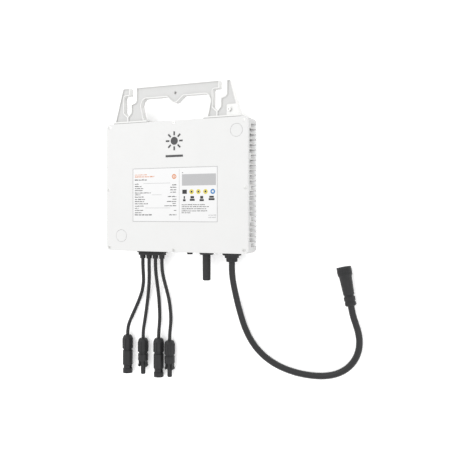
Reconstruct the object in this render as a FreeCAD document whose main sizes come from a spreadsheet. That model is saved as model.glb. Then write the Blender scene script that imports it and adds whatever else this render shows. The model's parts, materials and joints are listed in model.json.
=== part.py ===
"""A two-panel micro inverter: a finned casting with a lid, a hanging bracket, four DC leads and an AC lead.

The inverter lies on its fins. +Z leaves the front cover, +X is to the right of the front, and +Y
is towards the hanging bracket. The origin is under the middle of the casting, on the fin tips.
All lengths are millimetres.
"""
import FreeCAD, Part
import math
import os
import re

import Sketcher
from FreeCAD import Placement, Rotation, Vector

DOC = FreeCAD.newDocument("MicroInverter")
SUBPARTS = []

STANDING = Rotation()
DOWN_Y = Rotation(Vector(1, 0, 0), 90)
UP_Y = Rotation(Vector(1, 0, 0), -90)
CONNECTOR_LEAN = 11
CONNECTOR_TURN = Rotation(Vector(0, 0, 1), CONNECTOR_LEAN) * UP_Y

SIZES = {
    # casting
    "body_width": 263, "body_height": 218, "housing_top": 34.8, "corner_radius": 8,
    "base_back": 10.5, "base_front": 14, "cavity_width": 243, "cavity_height": 199,
    "cavity_radius": 16, "fin_thick": 2, "fin_pitch": 8.3, "fin_gaps": 24,
    "side_slot": 7.5, "slot_top": 30.2, "boss_back": 23.5, "thread_hole": 3.1, "thread_deep": 9,
    "standoff_width": 8, "standoff_high": 5, "standoff_hole": 2.6,
    # lid gasket and its groove
    "seal_width": 247.8, "seal_height": 204, "seal_corner": 10,
    "groove_wide": 2.2, "seal_wide": 2, "seal_deep": 1.2,
    # front cover
    "cover_thick": 3.2, "cover_edge": 1, "label_width": 158, "label_height": 90,
    "label_x": 0.3, "label_y": -14, "label_thick": 0.3,
    "screw_x": 125, "screw_y": 102.8, "mid_screw_x": 127.6, "mid_screw_y": 105.2,
    "side_screw_y": -4.15, "head_width": 5.6, "head_high": 1.6, "shank_width": 3,
    "shank_long": 10.4, "key_width": 2.5, "key_deep": 1,
    "fill_head": 20.4, "fill_head_thick": 0.8, "fill_seal_thick": 0.4, "fill_shank": 16,
    "fill_long": 7, "fill_gap": 0.3,
    # hanging bracket
    "bracket_front": 34.5, "bracket_thick": 12, "rim_wide": 1.4, "rim_high": 2,
    "web_thick": 4.4, "flange_back": 8, "flange_front": 35.6, "flange_thick": 3.4,
    "bolt_depth": 14.5, "bolt_near": 68, "bolt_far": 101, "bolt_shank": 5,
    "bolt_head": 8.6, "bolt_head_high": 3, "bolt_long": 11.6, "bolt_key": 4,
    "ground_x": 98.9, "ground_y": 121.6, "ground_shank": 4, "ground_long": 7.4,
    "ground_head": 6.4, "ground_head_high": 1.8, "ground_key": 3, "ground_key_deep": 1.4,
    "washer_width": 8.6, "washer_thick": 0.8,
    # things in the bottom wall
    "port_depth": 20, "dc_centre": -51, "dc_pitch": 12.4, "dc_wide": 51, "dc_block_wide": 47.6,
    "dc_tail_wide": 43, "dc_deep": 14, "dc_block_deep": 10.6, "dc_seal": 1, "dc_flange": 1.6,
    "dc_block": 4.4, "nub_base": 10, "nub_tip": 9, "nub_long": 6, "vent_x": 21,
    "antenna_x": 52.1, "antenna_long": 42.3, "antenna_width": 13.2, "antenna_base": 23.8,
    "antenna_base_long": 3.8, "antenna_depth": 21,
    "gland_x": 97.2, "gland_depth": 21, "gland_flange": 30.6, "gland_flange_long": 2.6,
    "gland_hub": 24, "gland_hub_long": 4.2, "gland_nut": 18.4, "gland_nut_long": 6.4,
    "gland_seal": 1,
    # leads and their plugs
    "dc_lead": 6, "ac_lead": 10.2, "plug_nut": 19, "plug_nut_long": 23.4, "plug_depth": 9.6,
    "connector_depth": 11.6,
    # circuit board
    "board_width": 206, "board_height": 164, "board_thick": 1.6,
}


# ---- document helpers ----------------------------------------------------------------------

def make_sheet():
    """The sheet that every dimension is bound to."""
    sheet = DOC.addObject("Spreadsheet::Sheet", "Sizes")
    for row, (name, value) in enumerate(SIZES.items(), start=1):
        sheet.set(f"A{row}", name)
        sheet.set(f"B{row}", str(value))
        sheet.setAlias(f"B{row}", name)
    DOC.recompute()
    return sheet


SHEET = make_sheet()


def linked(formula):
    """A formula with each size's name turned into a reference to the sheet."""
    def reference(word):
        return "Sizes." + word[0] if word[0] in SIZES else word[0]
    return re.sub(r"[a-z_]+", reference, str(formula))


def bind(thing, **formulas):
    for name, formula in formulas.items():
        thing.setExpression(name, linked(formula))


def place(thing, x, y, z, turn=STANDING):
    """Put a thing at a place given by formulas, turned from its own upright pose."""
    thing.Placement = Placement(Vector(), turn)
    thing.setExpression(".Placement.Base.x", linked(x))
    thing.setExpression(".Placement.Base.y", linked(y))
    thing.setExpression(".Placement.Base.z", linked(z))


def value(name):
    """A size read back from the sheet, for the shapes that are worked out in code."""
    return float(getattr(SHEET, name))


def subpart(label, thing):
    thing.Label = label
    SUBPARTS.append(thing)
    return thing


def box(name, size, corner):
    """A box from its low corner."""
    piece = DOC.addObject("Part::Box", name)
    bind(piece, Length=size[0], Width=size[1], Height=size[2])
    place(piece, *corner)
    return piece


def block(name, size, centre):
    """A box from the middle of its underside."""
    corner = (f"{centre[0]} - ({size[0]}) / 2", f"{centre[1]} - ({size[1]}) / 2", centre[2])
    return box(name, size, corner)


def rod(name, width, length, foot, turn=STANDING):
    """A cylinder from the centre of its foot."""
    piece = DOC.addObject("Part::Cylinder", name)
    bind(piece, Radius=f"({width}) / 2", Height=length)
    place(piece, *foot, turn)
    return piece


def hex_key(name, width, deep, foot, turn=STANDING):
    """The cutter for a hexagonal socket, from the centre of its floor."""
    key = DOC.addObject("Part::Prism", name)
    key.Polygon = 6
    bind(key, Circumradius=f"({width}) / 1.732", Height=f"{deep} + 1")
    place(key, *foot, turn)
    return key


def cut(name, base, *tools):
    """The base with the tools taken away."""
    piece = DOC.addObject("Part::Cut", name)
    piece.Base = base
    piece.Tool = tools[0] if len(tools) == 1 else fuse(name + "_tools", *tools)
    return piece


def fuse(name, *pieces):
    piece = DOC.addObject("Part::MultiFuse", name)
    piece.Shapes = list(pieces)
    return piece


def group(name, *pieces):
    """Separate solids that share one sub-part."""
    piece = DOC.addObject("Part::Compound", name)
    piece.Links = list(pieces)
    return piece


# ---- sketch helpers ------------------------------------------------------------------------

def new_body(name):
    return DOC.addObject("PartDesign::Body", name)


def new_sketch(body, name, plane="XY_Plane", offset="0"):
    """A sketch on one of the body's own planes, moved along that plane's normal."""
    sketch = body.newObject("Sketcher::SketchObject", name)
    origin_plane = next(item for item in body.Origin.OriginFeatures if item.Role == plane)
    sketch.AttachmentSupport = [(origin_plane, "")]
    sketch.MapMode = "FlatFace"
    sketch.setExpression(".AttachmentOffset.Base.z", linked(offset))
    return sketch


def size_of(formula):
    """The number that a formula gives, to draw a sketch near its final shape."""
    return SHEET.evalExpression(linked(formula).replace("Sizes.", "")) + 0.0


def pin_point(sketch, geometry, point, x, y):
    """Hold a point of the sketch at formulas for x and y."""
    for kind, formula in (("DistanceX", x), ("DistanceY", y)):
        number = sketch.addConstraint(Sketcher.Constraint(kind, -1, 1, geometry, point, size_of(formula)))
        sketch.setExpression(f"Constraints[{number}]", linked(formula))


def outline(sketch, corners):
    """A closed outline of straight lines through corners given as formulas."""
    first = sketch.GeometryCount
    count = len(corners)
    spots = [Vector(size_of(x), size_of(y), 0) for x, y in corners]
    for index in range(count):
        sketch.addGeometry(Part.LineSegment(spots[index], spots[(index + 1) % count]), False)
    for index in range(count):
        following = first + (index + 1) % count
        sketch.addConstraint(Sketcher.Constraint("Coincident", first + index, 2, following, 1))
        pin_point(sketch, first + index, 1, *corners[index])


def rectangle(sketch, width, height, x="0", y="0"):
    west, east = f"{x} - ({width}) / 2", f"{x} + ({width}) / 2"
    south, north = f"{y} - ({height}) / 2", f"{y} + ({height}) / 2"
    outline(sketch, [(west, south), (east, south), (east, north), (west, north)])


def circle(sketch, width, x="0", y="0"):
    number = sketch.addGeometry(
        Part.Circle(Vector(size_of(x), size_of(y), 0), Vector(0, 0, 1), size_of(width) / 2), False)
    limit = sketch.addConstraint(Sketcher.Constraint("Diameter", number, size_of(width)))
    sketch.setExpression(f"Constraints[{limit}]", linked(width))
    pin_point(sketch, number, 3, x, y)


def pad(body, sketch, length):
    feature = body.newObject("PartDesign::Pad", sketch.Name + "_pad")
    feature.Profile = sketch
    bind(feature, Length=length)
    return feature


def pocket(body, sketch, length, along_normal=False):
    """A pocket that is cut against its sketch's normal, or along it."""
    feature = body.newObject("PartDesign::Pocket", sketch.Name + "_pocket")
    feature.Profile = sketch
    feature.Reversed = along_normal
    bind(feature, Length=length)
    return feature


def repeat_along_y(body, feature, count, length):
    """The same feature several times, spread evenly along +Y."""
    pattern = body.newObject("PartDesign::LinearPattern", feature.Name + "_row")
    pattern.Originals = [feature]
    axis = next(item for item in body.Origin.OriginFeatures if item.Role == "Y_Axis")
    pattern.Direction = (axis, [""])
    pattern.Length = size_of(length)
    bind(pattern, Length=length, Occurrences=count)
    body.Tip = pattern
    return pattern


def round_edges(body, feature, radius, wanted):
    """A fillet on the feature's edges that the wanted test picks."""
    DOC.recompute()
    names = [f"Edge{number}" for number, edge in enumerate(feature.Shape.Edges, start=1) if wanted(edge)]
    fillet = body.newObject("PartDesign::Fillet", feature.Name + "_round")
    fillet.Base = (feature, names)
    bind(fillet, Radius=radius)
    return fillet


def upright(edge):
    """True for an edge along Z."""
    low, high = edge.BoundBox.ZMin, edge.BoundBox.ZMax
    return edge.BoundBox.XLength < 1e-6 and edge.BoundBox.YLength < 1e-6 and high - low > 1e-3


def turned(label, profile, foot, turn=STANDING):
    """A piece turned on a lathe: its profile is a list of (radius, distance along the axis)."""
    body = new_body(label)
    sketch = new_sketch(body, label + "_profile", "XZ_Plane")
    outline(sketch, profile)
    revolution = body.newObject("PartDesign::Revolution", label + "_turn")
    revolution.Profile = sketch
    revolution.ReferenceAxis = (sketch, ["V_Axis"])
    revolution.Angle = 360
    place(body, *foot, turn)
    return body


# ---- casting, gasket and cover -------------------------------------------------------------

# the eight cover screws: four corners, then the middles of the four sides
COVER_SCREWS = [
    ("screw_x", "screw_y"), ("-screw_x", "screw_y"), ("-screw_x", "-screw_y"), ("screw_x", "-screw_y"),
    ("0", "mid_screw_y"), ("0", "-mid_screw_y"),
    ("mid_screw_x", "side_screw_y"), ("-mid_screw_x", "side_screw_y"),
]
FILL_PLUGS = [("112", "87.4"), ("-101.5", "-83.2")]
BRACKET_BOLTS = ["-bolt_far", "-bolt_near", "bolt_near", "bolt_far"]
STANDOFFS = [(x, y) for x in ("-94", "0", "94") for y in ("-74", "74")]
FILLED_GAPS = [0, 6, 12, 18, 23]
GAP_WIDE = "fin_pitch - fin_thick"
LOWEST_GAP = "-(fin_gaps - 1) / 2 * fin_pitch"
GAP_ROW = "(fin_gaps - 1) * fin_pitch"


def seal_outline(sketch, grow):
    """The gasket's line with its corners cut off, moved outwards by a formula."""
    x = f"(seal_width / 2 + ({grow}))"
    y = f"(seal_height / 2 + ({grow}))"
    slant = f"(seal_corner + ({grow}) * 0.586)"
    near_x, near_y = f"({x} - {slant})", f"({y} - {slant})"
    outline(sketch, [
        (near_x, f"-{y}"), (x, f"-{near_y}"), (x, near_y), (near_x, y),
        (f"-{near_x}", y), (f"-{x}", near_y), (f"-{x}", f"-{near_y}"), (f"-{near_x}", f"-{y}"),
    ])


def make_rear_housing():
    """The casting: a shallow tray whose back and sides are cut into horizontal cooling fins."""
    body = new_body("rear_housing")
    sketch = new_sketch(body, "housing_outline")
    rectangle(sketch, "body_width", "body_height")
    tray = pad(body, sketch, "housing_top")
    round_edges(body, tray, "corner_radius", upright)

    sketch = new_sketch(body, "cavity", offset="housing_top")
    rectangle(sketch, "cavity_width", "cavity_height")
    hollow = pocket(body, sketch, "housing_top - base_front")
    half = value("cavity_width") / 2
    round_edges(body, hollow, "cavity_radius",
                lambda edge: upright(edge) and abs(abs(edge.BoundBox.XMin) - half) < 0.01)

    sketch = new_sketch(body, "back_groove")
    rectangle(sketch, "body_width + 20", GAP_WIDE, "0", LOWEST_GAP)
    repeat_along_y(body, pocket(body, sketch, "base_back", along_normal=True), "fin_gaps", GAP_ROW)

    sketch = new_sketch(body, "side_slots")
    for side in ("", "-"):
        centre = f"{side}((body_width - side_slot) / 2 + 5)"
        rectangle(sketch, "side_slot + 10", GAP_WIDE, centre, LOWEST_GAP)
    repeat_along_y(body, pocket(body, sketch, "slot_top", along_normal=True), "fin_gaps", GAP_ROW)

    sketch = new_sketch(body, "side_bosses", offset="boss_back")
    for side in ("", "-"):
        for gap in FILLED_GAPS:
            rectangle(sketch, "side_slot + 0.4", f"{GAP_WIDE} + 0.4",
                      f"{side}(body_width / 2 - side_slot / 2 - 0.2)", f"(11.5 - {gap}) * fin_pitch")
    pad(body, sketch, "housing_top - boss_back")

    sketch = new_sketch(body, "seal_groove", offset="housing_top")
    seal_outline(sketch, "groove_wide / 2")
    seal_outline(sketch, "-groove_wide / 2")
    pocket(body, sketch, "seal_deep")

    sketch = new_sketch(body, "cover_threads", offset="housing_top")
    for x, y in COVER_SCREWS:
        circle(sketch, "thread_hole", x, y)
    pocket(body, sketch, "thread_deep")

    sketch = new_sketch(body, "standoffs", offset="base_front - 0.1")
    for x, y in STANDOFFS:
        circle(sketch, "standoff_width", x, y)
    pad(body, sketch, "standoff_high + 0.1")
    sketch = new_sketch(body, "standoff_threads", offset="base_front + standoff_high")
    for x, y in STANDOFFS:
        circle(sketch, "standoff_hole", x, y)
    pocket(body, sketch, "standoff_high - 0.5")

    sketch = new_sketch(body, "lead_ports", "XZ_Plane", "body_height / 2")
    rectangle(sketch, "dc_tail_wide + 1", "9", "dc_centre", "port_depth + 1")
    circle(sketch, "6.2", "vent_x", "port_depth")
    circle(sketch, "8.2", "antenna_x", "antenna_depth")
    circle(sketch, "10", "gland_x", "gland_depth")
    pocket(body, sketch, "(body_height - cavity_height) / 2 + 1")

    sketch = new_sketch(body, "bracket_threads", "XZ_Plane", "-body_height / 2")
    for x in BRACKET_BOLTS:
        circle(sketch, "bolt_shank + 0.1", x, "bolt_depth")
    pocket(body, sketch, "bolt_long - flange_thick + 0.4", along_normal=True)
    subpart("rear_housing", body)


def make_lid_gasket():
    """The rubber ring that lies in the casting's groove."""
    body = new_body("lid_gasket")
    sketch = new_sketch(body, "gasket_ring", offset="housing_top - seal_deep")
    seal_outline(sketch, "seal_wide / 2")
    seal_outline(sketch, "-seal_wide / 2")
    pad(body, sketch, "seal_deep")
    subpart("lid_gasket", body)


def make_front_cover():
    """The flat lid, with a shallow recess for the rating label and counterbored screw holes."""
    body = new_body("front_cover")
    sketch = new_sketch(body, "cover_outline", offset="housing_top")
    rectangle(sketch, "body_width", "body_height")
    lid = pad(body, sketch, "cover_thick")
    rounded = round_edges(body, lid, "corner_radius", upright)
    front = value("housing_top") + value("cover_thick")
    round_edges(body, rounded, "cover_edge",
                lambda edge: edge.BoundBox.ZMin > front - 0.01 and edge.BoundBox.ZLength < 0.01)

    sketch = new_sketch(body, "label_recess", offset="housing_top + cover_thick")
    rectangle(sketch, "label_width + 0.6", "label_height + 0.6", "label_x", "label_y")
    pocket(body, sketch, "label_thick")

    sketch = new_sketch(body, "screw_seats", offset="housing_top + cover_thick")
    for x, y in COVER_SCREWS:
        circle(sketch, "head_width + 0.3", x, y)
    pocket(body, sketch, "head_high + 0.2")
    sketch = new_sketch(body, "screw_holes", offset="housing_top + cover_thick")
    for x, y in COVER_SCREWS:
        circle(sketch, "shank_width + 0.4", x, y)
    pocket(body, sketch, "cover_thick + 1")

    sketch = new_sketch(body, "fill_seats", offset="housing_top + cover_thick")
    for x, y in FILL_PLUGS:
        circle(sketch, "fill_head + 2 * fill_gap", x, y)
    pocket(body, sketch, "fill_head_thick + fill_seal_thick")
    sketch = new_sketch(body, "fill_holes", offset="housing_top + cover_thick")
    for x, y in FILL_PLUGS:
        circle(sketch, "fill_shank + 0.1", x, y)
    pocket(body, sketch, "cover_thick + 1")
    subpart("front_cover", body)


def make_cover_screws():
    """Eight socket screws whose heads sit just below the cover's face."""
    screws = []
    seat = "housing_top + cover_thick - head_high - 0.2"
    for number, (x, y) in enumerate(COVER_SCREWS, start=1):
        head = rod(f"head_{number}", "head_width", "head_high", (x, y, seat))
        shank = rod(f"shank_{number}", "shank_width", "shank_long", (x, y, f"{seat} - shank_long"))
        key = hex_key(f"key_{number}", "key_width", "key_deep", (x, y, f"{seat} + head_high - key_deep"))
        screws.append(cut(f"screw_{number}", fuse(f"screw_blank_{number}", head, shank), key))
    subpart("cover_screws", group("cover_screws", *screws))


def make_fill_plugs():
    """Two flush plugs over the holes that potting compound is poured through, and their seals."""
    plugs = []
    seals = []
    front = "housing_top + cover_thick"
    for number, (x, y) in enumerate(FILL_PLUGS, start=1):
        low, high = (x, y, f"{front} - fill_long"), (x, y, f"{front} - fill_head_thick")
        head = rod(f"fill_head_{number}", "fill_head", "fill_head_thick", high)
        shank = rod(f"fill_shank_{number}", "fill_shank", "fill_long", low)
        core = rod(f"fill_core_{number}", "fill_shank - 4", "fill_long - 2", low)
        plugs.append(cut(f"fill_plug_{number}", fuse(f"fill_blank_{number}", head, shank), core))
        foot = (x, y, f"{front} - fill_head_thick - fill_seal_thick")
        ring = rod(f"seal_ring_{number}", "fill_head - 0.4", "fill_seal_thick", foot)
        bore = rod(f"seal_bore_{number}", "fill_shank + 0.6", "fill_seal_thick", foot)
        seals.append(cut(f"fill_seal_{number}", ring, bore))
    subpart("fill_plugs", group("fill_plugs", *plugs))
    subpart("fill_plug_seals", group("fill_plug_seals", *seals))


def make_rating_label():
    """The foil label, flush with the cover."""
    label = block("rating_label", ("label_width", "label_height", "label_thick"),
                  ("label_x", "label_y", "housing_top + cover_thick - label_thick"))
    subpart("rating_label", label)


def make_emblem_badge():
    """A plain sun mark: a disc, a ring of rays around it, and a short bar below."""
    front = "housing_top + cover_thick"
    centre_x, centre_y, thick = 1, 75, "0.4"
    pieces = [rod("sun_disc", "13", thick, (centre_x, centre_y, front))]
    for number in range(8):
        ray = DOC.addObject("Part::Box", f"sun_ray_{number + 1}")
        bind(ray, Length="6.4", Width="2.6", Height=thick)
        angle = math.radians(45 * number)
        x = centre_x + 9.2 * math.cos(angle) + 1.3 * math.sin(angle)
        y = centre_y + 9.2 * math.sin(angle) - 1.3 * math.cos(angle)
        place(ray, round(x, 3), round(y, 3), front, Rotation(Vector(0, 0, 1), 45 * number))
        pieces.append(ray)
    pieces.append(block("sun_bar", ("32", "3.4", thick), (centre_x, "50", front)))
    subpart("emblem_badge", group("emblem_badge", *pieces))


# ---- hanging bracket -----------------------------------------------------------------------

# the S-slots hang on rail bolts: the entry is up and to the right of the seat
SLOT_SEATS = (-90.3, 77.1)
# the right half, from the window's corner down round the foot and up; then the bulge under the hole
HALF_OUTLINE = [
    (60.5, 149.8, 9), (65.4, 138.5, 12), (59.6, 112.4, 3), (53, 112.4, 0), (53, 109, 0), (118.5, 109, 0),
    (118.5, 112.4, 0), (116, 112.4, 2), (100.5, 169.5, 3),
]
BULGE = [(-15.5, 149.8, 5), (0, 136.2, 8), (15.5, 149.8, 5)]
HOLE = (0, 155.3)
HOLE_RADIUS = 2.5
BOSS_RADIUS = 6
# the flat pad under the earth screw, at the level of the rim
PAD = [(93.6, 109, 0), (120, 109, 0), (120, 130, 0), (93.6, 130, 3)]
TIP_RIB = 2.2
# the ribs behind each foot: place along X, and how far they reach behind the web
RIBS = ((83, 10), (108.5, 18))
RIB_THICK = 2.6
FLANGE_START = 53
FLANGE_LONG = 65.5


def rounded_wire(corners):
    """A closed flat outline, anticlockwise through (x, y, radius) corners, each rounded by its radius."""
    edges = []
    trims = []
    count = len(corners)
    for index in range(count):
        before, here, after = (Vector(*corners[(index + step) % count][:2], 0) for step in (-1, 0, 1))
        into, out = (before - here).normalize(), (after - here).normalize()
        radius = corners[index][2]
        half_angle = into.getAngle(out) / 2
        back = radius / math.tan(half_angle)
        start, end = here + into * back, here + out * back
        middle = here + (into + out).normalize() * (radius / math.sin(half_angle) - radius)
        trims.append((start, end))
        if radius:
            edges.append(Part.Arc(start, middle, end).toShape())
    for index in range(count):
        start, end = trims[index][1], trims[(index + 1) % count][0]
        if start.distanceToPoint(end) > 1e-6:
            edges.append(Part.LineSegment(start, end).toShape())
    return Part.Wire(Part.__sortEdges__(edges))


def slot_corners(seat):
    """One S-slot around a seat: open at the top right, with a V-shaped seat at its foot."""
    left, right = seat - 8.4, seat + 6
    gate_left, gate_right = seat + 3.4, seat + 16.4
    return [
        (left, 127, 2), (seat - 1.6, 120.8, 1.5), (seat + 0.4, 120.8, 1.5), (right, 127.5, 2),
        (right, 141, 0.6), (gate_right, 144.6, 5), (gate_right, 180, 0), (gate_left, 180, 0),
        (gate_left, 156.6, 1), (left, 156.6, 4),
    ]


def bracket_face():
    """The bracket's outline with its two slots."""
    mirrored = [(-x, y, radius) for x, y, radius in reversed(HALF_OUTLINE)]
    face = Part.Face(rounded_wire(HALF_OUTLINE + mirrored + BULGE))
    for seat in SLOT_SEATS:
        face = face.cut(Part.Face(rounded_wire(slot_corners(seat))))
    return max(face.Faces, key=lambda part: part.Area)


def web_face(inside):
    """The sunken part of the front: inside the rim, but not the pad or the ribs below the slots."""
    web = inside.cut(Part.Face(rounded_wire(PAD)))
    for seat in SLOT_SEATS:
        corner = Vector(seat - 0.6 - TIP_RIB / 2, 105, 0)
        web = web.cut(Part.makePlane(TIP_RIB, 18, corner))
    return web


def slab(face, foot, thick):
    """A slab of a flat face, from a foot along Z."""
    piece = face.extrude(Vector(0, 0, thick))
    piece.translate(Vector(0, 0, foot))
    return piece


def flange_ribs(base, back, hole_z):
    """Two small ribs behind each foot, the inner one short to keep clear of the slot."""
    ribs = []
    for x, reach in RIBS:
        side = Part.makePolygon([Vector(x, base + 1, back), Vector(x, base + 1, hole_z),
                                 Vector(x, base + reach, hole_z), Vector(x, base + 1, back)])
        rib = Part.Face(side).extrude(Vector(RIB_THICK, 0, 0))
        ribs += [rib, rib.mirror(Vector(), Vector(1, 0, 0))]
    return ribs


def make_mounting_bracket():
    """A cast bracket: a web with a raised rim round every edge, standing on two flanges."""
    front, thick = value("bracket_front"), value("bracket_thick")
    rim_high, web_thick = value("rim_high"), value("web_thick")
    base, back = value("body_height") / 2, value("flange_back")
    hole_z = front - thick
    face = bracket_face()
    inside = face.makeOffset2D(-value("rim_wide"), 0, False, False)
    shape = slab(face, hole_z, thick)
    shape = shape.cut(slab(web_face(inside), front - rim_high, rim_high))
    shape = shape.cut(slab(inside, hole_z, thick - rim_high - web_thick))

    boss = Part.makeCylinder(BOSS_RADIUS, thick - rim_high, Vector(*HOLE, hole_z))
    deep = value("flange_front") - back
    flange = Part.makeBox(FLANGE_LONG, value("flange_thick"), deep, Vector(FLANGE_START, base, back))
    flanges = [flange, flange.mirror(Vector(), Vector(1, 0, 0))]
    shape = shape.fuse([boss] + flanges + flange_ribs(base, back, hole_z))
    for x in BRACKET_BOLTS:
        spot = Vector(size_of(x), base - 1, value("bolt_depth"))
        shape = shape.cut(Part.makeCylinder(value("bolt_shank") / 2 + 0.3, 8, spot, Vector(0, 1, 0)))
    shape = shape.cut(Part.makeCylinder(HOLE_RADIUS, thick + 2, Vector(*HOLE, hole_z - 1)))
    ground = Vector(value("ground_x"), value("ground_y"), hole_z - 1)
    shape = shape.cut(Part.makeCylinder(value("ground_shank") / 2 + 0.05, thick + 2, ground))
    bracket = DOC.addObject("Part::Feature", "mounting_bracket")
    bracket.Shape = shape.removeSplitter()
    subpart("mounting_bracket", bracket)


def make_bracket_screws():
    """Four screws down through the bracket's flanges into the casting."""
    screws = []
    seat = "body_height / 2 + flange_thick"
    for number, x in enumerate(BRACKET_BOLTS, start=1):
        shank = rod(f"bolt_shank_{number}", "bolt_shank", "bolt_long", (x, seat, "bolt_depth"), DOWN_Y)
        head = rod(f"bolt_head_{number}", "bolt_head", "bolt_head_high", (x, seat, "bolt_depth"), UP_Y)
        key_floor = (x, f"{seat} + bolt_head_high - 1.6", "bolt_depth")
        key = hex_key(f"bolt_key_{number}", "bolt_key", "1.6", key_floor, UP_Y)
        screws.append(cut(f"bolt_{number}", fuse(f"bolt_blank_{number}", shank, head), key))
    subpart("bracket_screws", group("bracket_screws", *screws))


def make_ground_screw():
    """The earth screw and its washer on the bracket's lower right pad."""
    spot = ("ground_x", "ground_y")
    seat = "bracket_front + washer_thick"
    disc = rod("washer_disc", "washer_width", "washer_thick", (*spot, "bracket_front"))
    bore = rod("washer_bore", "ground_shank + 0.3", "washer_thick", (*spot, "bracket_front"))
    subpart("ground_washer", cut("ground_washer_ring", disc, bore))
    shank = rod("ground_shank_rod", "ground_shank", "ground_long", (*spot, f"{seat} - ground_long"))
    head = rod("ground_head_disc", "ground_head", "ground_head_high", (*spot, seat))
    key_floor = (*spot, f"{seat} + ground_head_high - ground_key_deep")
    key = hex_key("ground_hex", "ground_key", "ground_key_deep", key_floor)
    subpart("ground_screw", cut("ground_screw_cut", fuse("ground_blank", shank, head), key))


# ---- fittings in the bottom wall -----------------------------------------------------------

WALL = "-body_height / 2"


def wall_block(name, size, x, depth):
    """A box hanging down from the bottom wall: size is (along X, along Y, along Z)."""
    return box(name, size, (f"{x} - ({size[0]}) / 2", f"{WALL} - ({depth}) - ({size[1]})",
                            f"port_depth - ({size[2]}) / 2"))


def lead_x(number):
    """The place along X of one of the four DC leads, counted from the left."""
    return f"dc_centre + ({number} - 2.5) * dc_pitch"


def make_dc_gland():
    """The four-way gland: a flange on its seal, a stepped block, a nub for each lead, and a tail inside."""
    sheet = wall_block("dc_seal_sheet", ("dc_wide - 1", "dc_seal", "dc_deep - 1"), "dc_centre", "0")
    hole = wall_block("dc_seal_hole", ("dc_tail_wide", "dc_seal", "8"), "dc_centre", "0")
    subpart("dc_gland_seal", cut("dc_gland_seal", sheet, hole))

    step_size = ("dc_block_wide", "dc_block", "dc_block_deep")
    pieces = [
        wall_block("dc_flange_plate", ("dc_wide", "dc_flange", "dc_deep"), "dc_centre", "dc_seal"),
        wall_block("dc_step", step_size, "dc_centre", "dc_seal + dc_flange"),
        wall_block("dc_neck", ("dc_tail_wide - 0.4", "dc_seal + 1", "7.6"), "dc_centre", "0"),
        block("dc_tail", ("dc_tail_wide", "6", "8"), ("dc_centre", f"{WALL} + 3", "port_depth - 3")),
    ]
    for number in range(1, 5):
        nub = DOC.addObject("Part::Cone", f"nub_{number}")
        bind(nub, Radius1="nub_base / 2", Radius2="nub_tip / 2", Height="nub_long")
        place(nub, lead_x(number), f"{WALL} - dc_seal - dc_flange - dc_block", "port_depth", DOWN_Y)
        pieces.append(nub)
    subpart("dc_gland_block", fuse("dc_gland_block", *pieces))


def make_vent():
    """The breather plug, which lets pressure out through a membrane but keeps water out."""
    profile = [("1.6", "-6"), ("3", "-6"), ("3", "0"), ("4.8", "0"), ("4.8", "3.4"), ("4.2", "4"),
               ("1.6", "4")]
    subpart("vent_plug", turned("vent_plug", profile, ("vent_x", WALL, "port_depth"), DOWN_Y))
    foot = ("vent_x", f"{WALL} + 1", "port_depth")
    subpart("vent_membrane", rod("vent_membrane_disc", "3.1", "0.4", foot, DOWN_Y))


def make_antenna():
    """The stub antenna: a screwed-in base, a rubber sleeve and the radiating rod inside it."""
    rim = "antenna_base / 2"
    base = [("1.4", "-8"), ("4", "-8"), ("4", "0"), (rim, "0"), (rim, "antenna_base_long - 1.4"),
            (f"{rim} - 1.4", "antenna_base_long"), ("1.4", "antenna_base_long")]
    foot = ("antenna_x", WALL, "antenna_depth")
    subpart("antenna_base", turned("antenna_base", base, foot, DOWN_Y))
    radius, tip = "antenna_width / 2", "antenna_base_long + antenna_long"
    sleeve = [("1.4", "antenna_base_long"), (radius, "antenna_base_long"), (radius, f"{tip} - 1.5"),
              (f"{radius} - 0.5", f"{tip} - 0.5"), (f"{radius} - 1.5", tip), ("0", tip),
              ("0", f"{tip} - 4"), ("1.4", f"{tip} - 4")]
    subpart("antenna_stub", turned("antenna_stub", sleeve, foot, DOWN_Y))
    rod_foot = ("antenna_x", f"{WALL} + 7", "antenna_depth")
    subpart("antenna_element", rod("antenna_rod", "2.4", "antenna_long + 5", rod_foot, DOWN_Y))


def make_ac_gland():
    """The AC gland: a flange with its seal, a hub and the nut that the lead comes out of."""
    foot = ("gland_x", WALL, "gland_depth")
    ring = [("5.2", "0"), ("gland_flange / 2 - 2", "0"), ("gland_flange / 2 - 2", "gland_seal"),
            ("5.2", "gland_seal")]
    subpart("ac_gland_seal", turned("ac_gland_seal", ring, foot, DOWN_Y))
    flange_top = "gland_seal + gland_flange_long"
    hub_top = f"{flange_top} + gland_hub_long"
    body = [("0", "-7"), ("4.8", "-7"), ("4.8", "gland_seal"), ("gland_flange / 2", "gland_seal"),
            ("gland_flange / 2", f"{flange_top} - 0.5"), ("gland_flange / 2 - 0.5", flange_top),
            ("gland_hub / 2", flange_top), ("gland_hub / 2 - 0.6", hub_top), ("0", hub_top)]
    subpart("ac_gland_body", turned("ac_gland_body", body, foot, DOWN_Y))
    nut_top = f"{hub_top} + gland_nut_long"
    nut = [("0", hub_top), ("gland_nut / 2", hub_top), ("gland_nut / 2", f"{nut_top} - 1"),
           ("gland_nut / 2 - 1", nut_top), ("0", nut_top)]
    turned_nut = turned("ac_gland_nut_turned", nut, foot, DOWN_Y)
    flutes = []
    for number in range(12):
        angle = math.radians(30 * number)
        x = f"gland_x + (gland_nut / 2 + 0.5) * {math.cos(angle):.4f}"
        z = f"gland_depth + (gland_nut / 2 + 0.5) * {math.sin(angle):.4f}"
        foot = (x, f"{WALL} - {hub_top.replace(' + ', ' - ')} - 1.2", z)
        flutes.append(rod(f"gland_flute_{number + 1}", "2", "gland_nut_long", foot, DOWN_Y))
    subpart("ac_gland_nut", cut("ac_gland_nut_cut", turned_nut, *flutes))


# ---- leads ---------------------------------------------------------------------------------

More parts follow.
